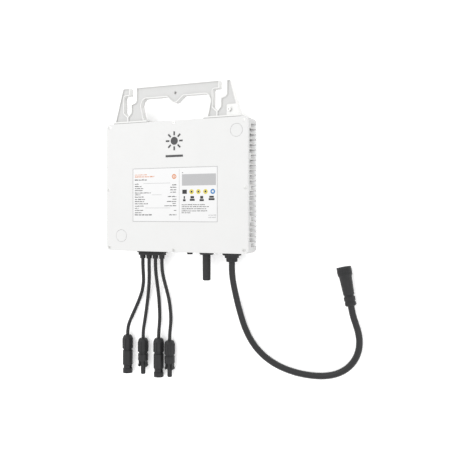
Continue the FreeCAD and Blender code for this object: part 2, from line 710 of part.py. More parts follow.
PLUG_TOP = {1: -258.6, 2: -261.8, 3: -259.6, 4: -261.9}
PLUG_X = {1: -106.6, 2: -75.2, 3: -44.4, 4: -22.9}
DC_ROUTES = {
    1: [(-69.6, -122, 20), (-69.6, -135, 20), (-70.3, -150, 17), (-73.2, -165, 11.8), (-79, -181, 6.6),
        (-86.6, -196, 3.8), (-94, -211, 3.2), (-100.6, -225, 4.2), (-105, -237, 7), (-106.6, -247.6, 9.6),
        (-106.6, -258.6, 9.6)],
    2: [(-57.2, -122, 20), (-57.2, -135, 20), (-58.6, -150, 17), (-62, -165, 11.8), (-66.2, -180.5, 6.6),
        (-69.8, -196, 3.8), (-72.4, -212, 3.2), (-74.2, -227, 4.2), (-75, -240, 7), (-75.2, -251, 9.6),
        (-75.2, -261.8, 9.6)],
    3: [(-44.8, -122, 20), (-44.8, -135, 20), (-45.2, -150, 17), (-46.1, -165, 11.8), (-46.9, -180, 6.6),
        (-47, -195, 3.8), (-46.4, -210.5, 3.2), (-45.3, -225, 4.2), (-44.5, -238, 7), (-44.4, -249, 9.6),
        (-44.4, -259.6, 9.6)],
    4: [(-32.4, -122, 20), (-32.4, -135, 20), (-32, -150, 17), (-30.7, -165, 11.8), (-28.8, -181, 6.6),
        (-26.7, -196.5, 3.8), (-24.8, -212, 3.2), (-23.4, -227, 4.2), (-22.9, -240, 7), (-22.9, -251, 9.6),
        (-22.9, -261.9, 9.6)],
}
CONNECTOR_END = (288.6, -184.6)
AC_ROUTE = [
    (97.2, -123.2, 21), (97.2, -140, 21), (98.4, -158, 18), (100.4, -177, 12.8), (103.2, -196, 8.1),
    (107.8, -215, 5.7), (114.6, -234, 5.3), (124.4, -251.6, 5.2), (137.4, -267, 5.2), (153.6, -279.6, 5.2),
    (172.6, -288.8, 5.2), (194, -294.9, 5.2), (217, -297.9, 5.2), (242, -297.6, 5.2), (263, -292.9, 5.2),
    (280.2, -283.2, 5.2), (292.6, -269.4, 5.2), (299.4, -252.8, 5.3), (300.6, -236.2, 6),
    (298.4, -222.2, 8.1), (294.8, -209.4, 10.7), (291.27, -198.34, 11.6), (288.6, -184.6, 11.6),
]


def bend_arc(before, here, after):
    """The arc that rounds one corner of a route, as large as its two runs allow, and its radius."""
    back = 0.45 * min(before.distanceToPoint(here), here.distanceToPoint(after))
    radius = back / math.tan((here - before).getAngle(after - here) / 2)
    into, out = (before - here).normalize(), (after - here).normalize()
    middle = here + (into + out).normalize() * (math.hypot(radius, back) - radius)
    return Part.Arc(here + into * back, middle, here + out * back), radius


def make_lead(label, route, width):
    """A round lead along straight runs joined by tangent arcs."""
    points = [Vector(*point) for point in route]
    edges = []
    radii = []
    last = points[0]
    for before, here, after in zip(points, points[1:], points[2:]):
        arc, radius = bend_arc(before, here, after)
        edges += [Part.LineSegment(last, arc.StartPoint).toShape(), arc.toShape()]
        radii.append(radius)
        last = arc.EndPoint
    edges.append(Part.LineSegment(last, points[-1]).toShape())
    path = Part.Wire(edges)
    profile = Part.Wire(Part.makeCircle(width / 2, points[0], points[1] - points[0]))
    lead = DOC.addObject("Part::Feature", label)
    lead.Shape = path.makePipeShell([profile], True, False)
    expected = path.Length * math.pi * width ** 2 / 4
    print(label, "length", round(path.Length, 1), "smallest radius", round(min(radii), 1),
          "volume ratio", round(lead.Shape.Volume / expected, 4))
    subpart(label, lead)


def make_leads():
    for number, route in DC_ROUTES.items():
        make_lead(f"dc_lead_{number}", route, value("dc_lead"))
    make_lead("ac_lead", AC_ROUTE, value("ac_lead"))


# ---- DC plugs ------------------------------------------------------------------------------

def plug_spot(number, distance):
    """A place on a plug's axis, so far from its lead's end."""
    return (str(PLUG_X[number]), f"{PLUG_TOP[number]} - ({distance})", "plug_depth")


def make_plug_nut(number):
    """The cable nut: a tapered cap with eight finger ridges."""
    radius = "(plug_nut / 2 - 0.9)"
    profile = [("0", "0"), (f"{radius} - 2.6", "0"), (f"{radius} - 0.8", "2.2"), (radius, "5"),
               (radius, "plug_nut_long"), ("7.2", "plug_nut_long"), ("7.2", "9"), ("0", "9")]
    pieces = [turned(f"plug_nut_core_{number}", profile, plug_spot(number, "0"), DOWN_Y)]
    for ridge in range(8):
        angle = math.radians(45 * ridge)
        x = f"{PLUG_X[number]} + ({radius} - 0.1) * {math.cos(angle):.4f}"
        z = f"plug_depth + ({radius} - 0.1) * {math.sin(angle):.4f}"
        foot = (x, f"{PLUG_TOP[number]} - 5.4", z)
        pieces.append(rod(f"nut_ridge_{number}_{ridge + 1}", "2", "plug_nut_long - 6", foot, DOWN_Y))
    subpart(f"plug_nut_{number}", fuse(f"plug_nut_solid_{number}", *pieces))


def make_wide_plug(number):
    """A socket plug: a round body, a waist and an end collar around the mouth."""
    nut = "plug_nut_long"
    profile = [("0", "11"), ("6.8", "11"), ("6.8", f"{nut} + 0.6"), ("7.4", f"{nut} + 0.6"),
               ("7.4", f"{nut} + 3"), ("8.7", f"{nut} + 3.6"), ("8.7", f"{nut} + 28"),
               ("7.2", f"{nut} + 29.4"), ("7.2", f"{nut} + 34.4"), ("8.4", f"{nut} + 35.2"),
               ("8.4", f"{nut} + 42.6"), ("6.2", f"{nut} + 42.6"), ("6.2", f"{nut} + 22"),
               ("0", f"{nut} + 22")]
    body = turned(f"plug_body_round_{number}", profile, plug_spot(number, "0"), DOWN_Y)
    windows = []
    window_y = f"{PLUG_TOP[number]} - {nut} - 34"
    for side in (-1, 1):
        corner = (f"{PLUG_X[number]} + {6 * side} - 1.5", window_y, "plug_depth - 3")
        windows.append(box(f"latch_window_{number}_{side + 2}", ("3", "5", "6"), corner))
    bore = rod(f"wire_bore_{number}", "4.2", "20.8", plug_spot(number, "plug_nut_long - 6"), DOWN_Y)
    subpart(f"plug_body_{number}", cut(f"plug_body_cut_{number}", body, *windows, bore))


def make_narrow_plug(number):
    """A pin plug: a round body, a slim nose and the pockets that its two latch arms stand in."""
    nut = "plug_nut_long"
    profile = [("0", "11"), ("6.8", "11"), ("6.8", f"{nut} + 0.6"), ("7.4", f"{nut} + 0.6"),
               ("7.4", f"{nut} + 3"), ("8.7", f"{nut} + 3.6"), ("8.7", f"{nut} + 14.6"),
               ("8.1", f"{nut} + 15.2"), ("4", f"{nut} + 15.2"), ("4", f"{nut} + 37.6"),
               ("3.4", f"{nut} + 38.6"), ("0", f"{nut} + 38.6")]
    body = turned(f"plug_body_round_{number}", profile, plug_spot(number, "0"), DOWN_Y)
    pockets = []
    pocket_y = f"{PLUG_TOP[number]} - {nut} - 16"
    for side in (-1, 1):
        corner = (f"{PLUG_X[number]} + {6.1 * side} - 1.2", pocket_y, "plug_depth - 4.6")
        pockets.append(box(f"arm_pocket_{number}_{side + 2}", ("2.4", "3", "9.2"), corner))
    bore = rod(f"wire_bore_{number}", "4.6", "40", plug_spot(number, "plug_nut_long - 6"), DOWN_Y)
    subpart(f"plug_body_{number}", cut(f"plug_body_cut_{number}", body, *pockets, bore))
    for side, hand in ((-1, "left"), (1, "right")):
        subpart(f"latch_arm_{number}_{hand}", make_latch_arm(number, side))


def make_latch_arm(number, side):
    """One latch arm: a flat blade beside the nose, with a catch on the outside of its tip."""
    name = f"arm_{number}_{side + 2}"
    start = f"{PLUG_TOP[number]} - plug_nut_long"
    blade = box(f"{name}_blade", ("1.4", "12.6", "8"),
                (f"{PLUG_X[number]} + {6.1 * side} - 0.7", f"{start} - 26", "plug_depth - 4"))
    catch = box(f"{name}_catch", ("1.5", "3.4", "8"),
                (f"{PLUG_X[number]} + {7.1 * side} - 0.75", f"{start} - 25", "plug_depth - 4"))
    return fuse(f"{name}_solid", blade, catch)


def make_plug_contacts():
    """The tinned contacts: short ones deep in the wide plugs, long ones down the narrow noses."""
    start = "plug_nut_long - 4"
    short = [rod(f"contact_{number}", "4", "18.4", plug_spot(number, start), DOWN_Y) for number in (1, 3)]
    long = [rod(f"contact_{number}", "4.4", "36", plug_spot(number, start), DOWN_Y) for number in (2, 4)]
    subpart("wide_plug_contacts", group("wide_plug_contacts", *short))
    subpart("narrow_plug_contacts", group("narrow_plug_contacts", *long))


def make_plug_seals():
    """The four rubber sleeves that the nuts squeeze, behind the leads' ends."""
    rings = []
    for number in PLUG_X:
        spot = plug_spot(number, "9.1")
        outer = rod(f"sleeve_{number}", "13", "1.8", spot, DOWN_Y)
        inner = rod(f"sleeve_bore_{number}", "6.2", "1.8", spot, DOWN_Y)
        rings.append(cut(f"plug_sleeve_{number}", outer, inner))
    subpart("plug_seals", group("plug_seals", *rings))


# ---- AC connector --------------------------------------------------------------------------

def connector_spot(distance):
    """A place on the AC connector's axis, so far from its lead's end."""
    lean = math.radians(CONNECTOR_LEAN)
    x = CONNECTOR_END[0] - distance * math.sin(lean)
    y = CONNECTOR_END[1] + distance * math.cos(lean)
    return (f"{x:.4f}", f"{y:.4f}", "connector_depth")


def connector_piece(label, profile):
    return turned(label, profile, connector_spot(0), CONNECTOR_TURN)


def make_ac_connector():
    """The AC connector: back nut, tapered housing, locking ring, contact block and mouth seal."""
    nut = [("0", "0"), ("7.2", "0"), ("8.6", "1.6"), ("8.6", "5"), ("8", "5.6"), ("8", "7.4"), ("8.6", "8"),
           ("8.6", "13"), ("8", "14"), ("0", "14")]
    subpart("connector_back_nut", connector_piece("connector_back_nut", nut))
    housing = [("0", "14"), ("7.4", "14"), ("7.4", "16"), ("8.3", "17"), ("9.6", "44"), ("11.1", "47.4"),
               ("11.1", "49"), ("9.9", "49"), ("9.9", "56"), ("11.1", "56"), ("11.1", "59.5"),
               ("8.8", "59.5"), ("8.8", "30"), ("0", "30")]
    subpart("connector_housing", connector_piece("connector_housing", housing))
    ring = [("10.2", "49.3"), ("11.2", "49.3"), ("11.2", "55.7"), ("10.2", "55.7")]
    ring_core = connector_piece("lock_ring_core", ring)
    grips = []
    for number in range(18):
        notch = DOC.addObject("Part::Cylinder", f"ring_notch_{number + 1}")
        bind(notch, Radius="0.55", Height="4.4")
        angle = math.radians(20 * number + 10)
        middle = Vector(*(float(part) for part in connector_spot(50.3)[:2]), value("connector_depth"))
        offset = CONNECTOR_TURN.multVec(Vector(11.35 * math.cos(angle), 11.35 * math.sin(angle), 0))
        notch.Placement = Placement(middle + offset, CONNECTOR_TURN)
        grips.append(notch)
    subpart("connector_lock_ring", cut("lock_ring_cut", ring_core, *grips))
    insert = rod("insert_core", "15.6", "16", connector_spot(30), CONNECTOR_TURN)
    contacts = []
    holes = []
    for number in range(4):
        angle = math.radians(90 * number + 45)
        middle = Vector(*(float(part) for part in connector_spot(30)[:2]), value("connector_depth"))
        offset = CONNECTOR_TURN.multVec(Vector(4.4 * math.cos(angle), 4.4 * math.sin(angle), 0))
        spot = middle + offset
        foot = (round(spot.x, 4), round(spot.y, 4), round(spot.z, 4))
        holes.append(rod(f"contact_hole_{number + 1}", "3.4", "16", foot, CONNECTOR_TURN))
        sleeve = rod(f"contact_sleeve_{number + 1}", "3.2", "14.5", foot, CONNECTOR_TURN)
        socket = rod(f"contact_socket_{number + 1}", "2", "14.5", foot, CONNECTOR_TURN)
        contacts.append(cut(f"contact_{number + 1}", sleeve, socket))
    subpart("connector_insert", cut("connector_insert_cut", insert, *holes))
    subpart("connector_contacts", group("connector_contacts", *contacts))
    seal = [("7.9", "31"), ("8.7", "31"), ("8.7", "36"), ("7.9", "36")]
    subpart("connector_seal", connector_piece("connector_seal", seal))


# ---- inside the casting --------------------------------------------------------------------

BOARD_BACK = "base_front + standoff_high"
BOARD_FRONT = f"{BOARD_BACK} + board_thick"


def on_board(name, size, x, y):
    """A box standing on the circuit board, by its centre."""
    return block(name, tuple(str(side) for side in size), (x, y, BOARD_FRONT))


def make_board():
    """The main circuit board on its six standoffs, with the screws that hold it."""
    body = new_body("main_board")
    sketch = new_sketch(body, "board_outline", offset=BOARD_BACK)
    rectangle(sketch, "board_width", "board_height")
    for x, y in STANDOFFS:
        circle(sketch, "2.8", x, y)
    pad(body, sketch, "board_thick")
    subpart("main_board", body)
    screws = []
    for number, (x, y) in enumerate(STANDOFFS, start=1):
        head = rod(f"board_head_{number}", "5", "1.6", (x, y, BOARD_FRONT))
        shank = rod(f"board_shank_{number}", "2.4", "5.4", (x, y, f"{BOARD_FRONT} - 5.4"))
        screws.append(fuse(f"board_screw_{number}", head, shank))
    subpart("board_screws", group("board_screws", *screws))


def make_power_parts():
    """Transformers, capacitors, relays, transistors and the pad that cools them."""
    cores = []
    windings = []
    for number, (x, y) in enumerate([(-52, 20), (4, 20)], start=1):
        core = on_board(f"core_block_{number}", (36, 34, 12.6), x, y)
        window = block(f"core_window_{number}", ("24", "40", "7"), (x, y, f"{BOARD_FRONT} + 3"))
        leg = block(f"core_leg_{number}", ("10", "34", "9"), (x, y, f"{BOARD_FRONT} + 2"))
        cores.append(fuse(f"core_{number}", cut(f"core_frame_{number}", core, window), leg))
        coil = block(f"coil_block_{number}", ("23", "40", "6.4"), (x, y, f"{BOARD_FRONT} + 3.3"))
        coil_bore = block(f"coil_bore_{number}", ("10.6", "34.6", "8"), (x, y, f"{BOARD_FRONT} + 2.5"))
        windings.append(cut(f"winding_{number}", coil, coil_bore))
    subpart("transformer_cores", group("transformer_cores", *cores))
    subpart("transformer_windings", group("transformer_windings", *windings))
    capacitors = []
    for number in range(4):
        foot = (-86 + 15 * number, -28, f"{BOARD_FRONT} + 6.4")
        capacitors.append(rod(f"capacitor_{number + 1}", "12.4", "26", foot, UP_Y))
    subpart("electrolytic_capacitors", group("electrolytic_capacitors", *capacitors))
    films = [on_board(f"film_{number + 1}", (9, 26, 12), 22 + 13 * number, -34) for number in range(3)]
    subpart("film_capacitors", group("film_capacitors", *films))
    relays = [on_board(f"relay_{number + 1}", (16, 20, 12.4), 72, -30 + 26 * number) for number in range(2)]
    subpart("grid_relays", group("grid_relays", *relays))
    transistors = [block(f"transistor_{number + 1}", ("10", "9", "1.5"),
                         (-60 + 20 * number, 52, f"{BOARD_BACK} - 1.5")) for number in range(7)]
    subpart("power_transistors", group("power_transistors", *transistors))
    pad_size = ("140", "14", f"{BOARD_BACK} - 1.5 - base_front")
    subpart("thermal_pad", block("thermal_pad", pad_size, ("0", "52", "base_front")))


def make_terminals():
    """The blocks on the board that the leads' wires end in, and the radio module."""
    blocks = [on_board(f"dc_terminal_{number + 1}", (9, 11, 10), -69.6 + 12.4 * number, -64)
              for number in range(4)]
    subpart("dc_terminals", group("dc_terminals", *blocks))
    subpart("ac_terminal", on_board("ac_terminal_block", (24, 12, 12), 76, -70))
    subpart("radio_module", on_board("radio_module_board", (24, 18, 3), 50, -66))


# ---- whole inverter ------------------------------------------------------------------------

def make_everything():
    make_rear_housing()
    make_lid_gasket()
    make_front_cover()
    make_cover_screws()
    make_fill_plugs()
    make_rating_label()
    make_emblem_badge()
    make_mounting_bracket()
    make_bracket_screws()
    make_ground_screw()
    make_dc_gland()
    make_vent()
    make_antenna()
    make_ac_gland()
    make_leads()
    for number in PLUG_X:
        make_plug_nut(number)
    make_wide_plug(1)
    make_wide_plug(3)
    make_narrow_plug(2)
    make_narrow_plug(4)
    make_plug_contacts()
    make_plug_seals()
    make_ac_connector()
    make_board()
    make_power_parts()
    make_terminals()


def write_parts():
    """Check every object and every sub-part's shape, then write one STEP file for each sub-part."""
    DOC.recompute()
    for thing in DOC.Objects:
        if "Invalid" in thing.State or "Error" in thing.State:
            raise RuntimeError(f"{thing.Name} did not build: {thing.State}")
    for piece in SUBPARTS:
        if piece.Shape.isNull() or not piece.Shape.isValid() or not piece.Shape.Solids:
            raise RuntimeError(f"{piece.Label} has no valid shape")
    os.makedirs("parts", exist_ok=True)
    for piece in SUBPARTS:
        piece.Shape.exportStep(f"parts/{piece.Label}.step")
    print(len(SUBPARTS), "sub-parts written")


make_everything()
write_parts()
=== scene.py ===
"""The looks of a two-panel micro inverter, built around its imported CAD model.

The inverter lies on its fins, with +Z out of the front cover, +X to the right of the front and +Y
towards the hanging bracket. Lengths are metres; the values written in millimetres are times MM.
"""
import json
import math
import random

import bmesh
import bpy
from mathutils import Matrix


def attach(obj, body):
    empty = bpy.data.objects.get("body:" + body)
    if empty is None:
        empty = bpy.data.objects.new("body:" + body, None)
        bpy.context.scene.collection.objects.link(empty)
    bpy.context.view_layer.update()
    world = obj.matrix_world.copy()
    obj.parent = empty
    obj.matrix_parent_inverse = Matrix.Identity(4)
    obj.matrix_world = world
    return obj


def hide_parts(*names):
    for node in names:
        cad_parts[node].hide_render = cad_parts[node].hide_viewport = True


MM = 0.001

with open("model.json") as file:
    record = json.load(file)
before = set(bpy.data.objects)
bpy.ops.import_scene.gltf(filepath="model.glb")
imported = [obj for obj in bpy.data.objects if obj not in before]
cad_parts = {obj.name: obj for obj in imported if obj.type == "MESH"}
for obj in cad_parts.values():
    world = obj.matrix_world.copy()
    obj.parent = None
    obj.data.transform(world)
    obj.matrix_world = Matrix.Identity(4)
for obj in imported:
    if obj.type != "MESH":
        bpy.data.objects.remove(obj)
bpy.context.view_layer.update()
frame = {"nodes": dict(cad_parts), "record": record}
NODES = frame["nodes"]


# ---- camera and leads ----------------------------------------------------------------------

CAMERA_PLACE = (0.4949, -0.0448, 0.9649)
CAMERA_LEAN = 23.2
CAMERA_SHIFT = -0.0322


def make_camera():
    """A camera over the right side of the front cover, leaning back towards it."""
    data = bpy.data.cameras.new("camera")
    data.lens = 50
    data.sensor_width = 36
    data.shift_y = CAMERA_SHIFT
    camera = bpy.data.objects.new("camera", data)
    camera.location = CAMERA_PLACE
    camera.rotation_euler = (0, math.radians(CAMERA_LEAN), 0)
    bpy.context.scene.collection.objects.link(camera)
    bpy.context.scene.camera = camera


# each lead's route in millimetres, from its gland to its plug
LEAD_ROUTES = {
    "dc_lead_1": [
        (-69.6, -122, 20), (-69.6, -135, 20), (-70.3, -150, 17), (-73.2, -165, 11.8), (-79, -181, 6.6),
        (-86.6, -196, 3.8), (-94, -211, 3.2), (-100.6, -225, 4.2), (-105, -237, 7), (-106.6, -247.6, 9.6),
        (-106.6, -258.6, 9.6)],
    "dc_lead_2": [
        (-57.2, -122, 20), (-57.2, -135, 20), (-58.6, -150, 17), (-62, -165, 11.8), (-66.2, -180.5, 6.6),
        (-69.8, -196, 3.8), (-72.4, -212, 3.2), (-74.2, -227, 4.2), (-75, -240, 7), (-75.2, -251, 9.6),
        (-75.2, -261.8, 9.6)],
    "dc_lead_3": [
        (-44.8, -122, 20), (-44.8, -135, 20), (-45.2, -150, 17), (-46.1, -165, 11.8), (-46.9, -180, 6.6),
        (-47, -195, 3.8), (-46.4, -210.5, 3.2), (-45.3, -225, 4.2), (-44.5, -238, 7), (-44.4, -249, 9.6),
        (-44.4, -259.6, 9.6)],
    "dc_lead_4": [
        (-32.4, -122, 20), (-32.4, -135, 20), (-32, -150, 17), (-30.7, -165, 11.8), (-28.8, -181, 6.6),
        (-26.7, -196.5, 3.8), (-24.8, -212, 3.2), (-23.4, -227, 4.2), (-22.9, -240, 7), (-22.9, -251, 9.6),
        (-22.9, -261.9, 9.6)],
    "ac_lead": [
        (97.2, -123.2, 21), (97.2, -140, 21), (98.4, -158, 18), (100.4, -177, 12.8), (103.2, -196, 8.1),
        (107.8, -215, 5.7), (114.6, -234, 5.3), (124.4, -251.6, 5.2), (137.4, -267, 5.2),
        (153.6, -279.6, 5.2), (172.6, -288.8, 5.2), (194, -294.9, 5.2), (217, -297.9, 5.2),
        (242, -297.6, 5.2), (263, -292.9, 5.2), (280.2, -283.2, 5.2), (292.6, -269.4, 5.2),
        (299.4, -252.8, 5.3), (300.6, -236.2, 6), (298.4, -222.2, 8.1), (294.8, -209.4, 10.7),
        (291.27, -198.34, 11.6), (288.6, -184.6, 11.6)],
}
DC_LEAD_WIDE = 6 * MM
AC_LEAD_WIDE = 10.2 * MM
# contacts and seals of several plugs share a node, which is named on the first of their leads
DC_PLUG_PIECES = {
    1: ["plug_nut_1", "plug_body_1", "wide_plug_contacts", "plug_seals"],
    2: ["plug_nut_2", "plug_body_2", "latch_arm_2_left", "latch_arm_2_right", "narrow_plug_contacts"],
    3: ["plug_nut_3", "plug_body_3"],
    4: ["plug_nut_4", "plug_body_4", "latch_arm_4_left", "latch_arm_4_right"],
}


def make_lead(node, width):
    """One lead as a smooth line through its route."""
    points = [tuple(value * MM for value in point) for point in LEAD_ROUTES[node]]
    curve = bpy.data.curves.new(node + "_cable", "CURVE")
    curve.dimensions = "3D"
    spline = curve.splines.new("NURBS")
    spline.points.add(len(points) - 1)
    for spot, point in zip(spline.points, points):
        spot.co = (*point, 1)
        spot.radius = width / 2
    spline.order_u = 3
    spline.use_endpoint_u = True
    spline.resolution_u = 10
    curve.bevel_depth = 1
    curve.bevel_resolution = 7
    curve.use_fill_caps = True
    lead = bpy.data.objects.new(node + "_cable", curve)
    bpy.context.scene.collection.objects.link(lead)
    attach(lead, "inverter")
    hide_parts(node)
    return lead, points[0]


def make_leads():
    """All five leads, each a smooth line through its route."""
    leads = []
    for number, pieces in DC_PLUG_PIECES.items():
        node = f"dc_lead_{number}"
        lead, start = make_lead(node, DC_LEAD_WIDE)
        leads.append(lead)
    lead, start = make_lead("ac_lead", AC_LEAD_WIDE)
    leads.append(lead)
    return leads


# ---- materials -----------------------------------------------------------------------------

class Surface:
    """A material under construction, whose textures lie in the model's own coordinates."""

    def __init__(self, name, metallic=0.0, coat=0.0, coat_roughness=0.2, specular=0.5):
        self.material = bpy.data.materials.new(name)
        self.material.use_nodes = True
        self.nodes = self.material.node_tree.nodes
        self.links = self.material.node_tree.links
        self.shader = self.nodes["Principled BSDF"]
        self.shader.inputs["Metallic"].default_value = metallic
        self.shader.inputs["Coat Weight"].default_value = coat
        self.shader.inputs["Coat Roughness"].default_value = coat_roughness
        self.shader.inputs["Specular IOR Level"].default_value = specular
        self.place = self.nodes.new("ShaderNodeTexCoord").outputs["Object"]

    def noise(self, scale, detail=3.0, stretch=(1, 1, 1)):
        """A noise value from 0 to 1, whose lumps are about 1 / scale metres wide."""
        mapping = self.nodes.new("ShaderNodeMapping")
        mapping.inputs["Scale"].default_value = stretch
        self.links.new(self.place, mapping.inputs["Vector"])
        texture = self.nodes.new("ShaderNodeTexNoise")
        texture.inputs["Scale"].default_value = scale
        texture.inputs["Detail"].default_value = detail
        self.links.new(mapping.outputs["Vector"], texture.inputs["Vector"])
        return texture.outputs["Fac"]

    def cells(self, scale):
        """The distance to the nearest of many scattered points."""
        texture = self.nodes.new("ShaderNodeTexVoronoi")
        texture.inputs["Scale"].default_value = scale
        self.links.new(self.place, texture.inputs["Vector"])
        return texture.outputs["Distance"]

    def bands(self, scale, direction):
        """Even stripes across one direction."""
        texture = self.nodes.new("ShaderNodeTexWave")
        texture.bands_direction = direction
        texture.inputs["Scale"].default_value = scale
        self.links.new(self.place, texture.inputs["Vector"])
        return texture.outputs["Fac"]

    def above(self, axis, low, high):
        """0 below the low level along an axis and 1 above the high one."""
        split = self.nodes.new("ShaderNodeSeparateXYZ")
        self.links.new(self.place, split.inputs["Vector"])
        return self.fitted(split.outputs[axis], (low, high), (0, 1))

    def facing_up(self):
        """1 on faces that look up, 0 on walls and undersides."""
        split = self.nodes.new("ShaderNodeSeparateXYZ")
        self.links.new(self.nodes.new("ShaderNodeNewGeometry").outputs["True Normal"], split.inputs["Vector"])
        return self.fitted(split.outputs["Z"], (0.75, 0.9), (0, 1))

    def fitted(self, value, source, target):
        """A value moved from one range to another."""
        fit = self.nodes.new("ShaderNodeMapRange")
        self.links.new(value, fit.inputs["Value"])
        for name, number in zip(("From Min", "From Max", "To Min", "To Max"), (*source, *target)):
            fit.inputs[name].default_value = number
        return fit.outputs["Result"]

    def mixed(self, share, low, high):
        """A colour between two others, each a colour or another node's output."""
        mix = self.nodes.new("ShaderNodeMix")
        mix.data_type = "RGBA"
        self.links.new(share, mix.inputs["Factor"])
        for name, color in (("A", low), ("B", high)):
            socket = next(item for item in mix.inputs if item.name == name and item.type == "RGBA")
            if isinstance(color, tuple):
                socket.default_value = (*color, 1)
            else:
                self.links.new(color, socket)
        return next(item for item in mix.outputs if item.type == "RGBA")

    def color(self, output):
        self.links.new(output, self.shader.inputs["Base Color"])

    def roughness(self, value, low, high):
        """Roughness that follows a texture, from low to high."""
        self.links.new(self.fitted(value, (0.3, 0.7), (low, high)), self.shader.inputs["Roughness"])

    def bump(self, *layers):
        """Bumps from (texture, depth in metres) layers, one on top of the other."""
        normal = None
        for value, depth in layers:
            bump = self.nodes.new("ShaderNodeBump")
            bump.inputs["Distance"].default_value = depth
            self.links.new(value, bump.inputs["Height"])
            if normal:
                self.links.new(normal, bump.inputs["Normal"])
            normal = bump.outputs["Normal"]
        self.links.new(normal, self.shader.inputs["Normal"])


def shaded(color, factor):
    """A colour made lighter or darker."""
    return tuple(min(1.0, channel * factor) for channel in color)


def powder_coat(name, color, walls=None, rim_level=None, seam_level=None):
    """A sprayed coat with orange peel.

    The walls may differ from the faces that look up, and so does the rim, above its level along Z; such a
    wall colour is painted shade where it is darker, painted light where it is lighter.
    Below a seam's level along Y lies a painted shadow line, where the cover's higher edge shades the joint.
    """
    surface = Surface(name, specular=0.45)
    drift = surface.noise(28, 2)
    shade = surface.mixed(drift, shaded(color, 0.975), shaded(color, 1.015))
    if rim_level:
        # above its level the rim takes the wall colour: painted light on the bracket, whose walls are lighter
        shade = surface.mixed(surface.above("Z", *rim_level), shade, walls)
    if walls:
        # walls that do not look up take their own colour: painted shade where it is darker, painted light
        # where it is lighter
        shade = surface.mixed(surface.facing_up(), walls, shade)
    if seam_level:
        # painted shadow: a dark line along the joint below the seam's level
        shade = surface.mixed(surface.above("Y", *seam_level), SEAM_SHADOW_PAINT, shade)
    speck = surface.fitted(surface.noise(2600, 2), (0.68, 0.76), (0, 0.35))
    surface.color(surface.mixed(speck, shade, shaded(color, 0.86)))
    surface.roughness(surface.noise(160, 4), 0.4, 0.54)
    surface.bump((surface.noise(900, 3), 0.05 * MM), (surface.noise(2600, 2), 0.02 * MM))
    return surface.material


def moulded(name, color, low_rough=0.42, high_rough=0.6, grain=0.04 * MM, specular=0.3):
    """Moulded plastic with a fine spark-eroded grain and faint flow marks."""
    surface = Surface(name, specular=specular)
    flow = surface.noise(70, 5, (1, 0.25, 1))
    shade = surface.mixed(flow, shaded(color, 0.82), shaded(color, 1.2))
    dust = surface.fitted(surface.noise(1900, 2), (0.66, 0.78), (0, 0.5))
    surface.color(surface.mixed(dust, shade, shaded(color, 1.9)))
    surface.roughness(surface.noise(210, 4), low_rough, high_rough)
    surface.bump((surface.cells(2400), grain), (surface.noise(420, 3), grain * 0.6))
    return surface.material


def rubbery(name, color, low_rough=0.5, high_rough=0.72):
    """Matt elastomer with a fine dull skin."""
    surface = Surface(name, specular=0.35)
    surface.color(surface.mixed(surface.noise(90, 4), shaded(color, 0.8), shaded(color, 1.25)))
    surface.roughness(surface.noise(260, 4), low_rough, high_rough)
    surface.bump((surface.noise(1500, 4), 0.03 * MM))
    return surface.material


def jacket(name, color):
    """An extruded cable jacket: a soft gloss that comes and goes, and a fine skin."""
    surface = Surface(name, specular=0.3)
    surface.color(surface.mixed(surface.noise(60, 4), shaded(color, 0.85), shaded(color, 1.2)))
    surface.roughness(surface.noise(120, 3), 0.34, 0.5)
    surface.bump((surface.noise(1300, 3), 0.025 * MM), (surface.noise(170, 2), 0.04 * MM))
    return surface.material


def brushed(name, color, direction=(1, 14, 14), roughness=(0.24, 0.42)):
    """Metal with fine parallel scratches."""
    surface = Surface(name, metallic=1.0)
    scratches = surface.noise(700, 4, direction)
    surface.color(surface.mixed(scratches, shaded(color, 0.8), shaded(color, 1.1)))
    surface.roughness(scratches, *roughness)
    surface.bump((scratches, 0.015 * MM))
    return surface.material


def film(name, color):
    """Printed polyester film: smooth, with the faint waves of a stuck-down sheet."""
    surface = Surface(name, coat=0.25, coat_roughness=0.18, specular=0.5)
    surface.color(surface.mixed(surface.noise(45, 2), shaded(color, 0.985), shaded(color, 1.01)))
    surface.roughness(surface.noise(300, 3), 0.3, 0.4)
    surface.bump((surface.noise(60, 2), 0.03 * MM), (surface.noise(1800, 2), 0.006 * MM))
    return surface.material


def ink(name, color):
    """Screen print, a little uneven where the mesh laid it down."""
    surface = Surface(name, specular=0.4)
    surface.color(surface.mixed(surface.noise(2200, 3), shaded(color, 0.9), shaded(color, 1.12)))
    surface.roughness(surface.noise(900, 3), 0.38, 0.55)
    surface.bump((surface.noise(2500, 2), 0.01 * MM))
    return surface.material


def circuit_board(name, color):
    """Solder mask over copper tracks that show as raised, paler bands."""
    surface = Surface(name, coat=0.3, coat_roughness=0.2)
    tracks = surface.fitted(surface.bands(55, "X"), (0.42, 0.5), (0, 1))
    surface.color(surface.mixed(tracks, color, shaded(color, 1.8)))
    surface.roughness(surface.noise(200, 3), 0.28, 0.42)
    surface.bump((tracks, 0.03 * MM), (surface.noise(1600, 2), 0.01 * MM))
    return surface.material


def winding(name, color):
    """Enamelled wire, wound turn by turn."""
    surface = Surface(name, metallic=0.8)
    turns = surface.bands(400, "Y")
    # painted shade and highlight: the colour goes from dark to light across each turn, as light falls on
    # round wire
    surface.color(surface.mixed(turns, shaded(color, 0.5), shaded(color, 1.3)))
    surface.roughness(surface.noise(300, 3), 0.28, 0.4)
    surface.bump((turns, 0.15 * MM))
    return surface.material


WHITE = (0.56, 0.56, 0.556)
BLACK = (0.014, 0.014, 0.015)
# painted shadow colour of the line under the cover's edge
SEAM_SHADOW_PAINT = (0.16, 0.16, 0.155)
# painted shade for the walls of the fill plugs
PAINTED_RING_SHADE = (0.2, 0.2, 0.19)

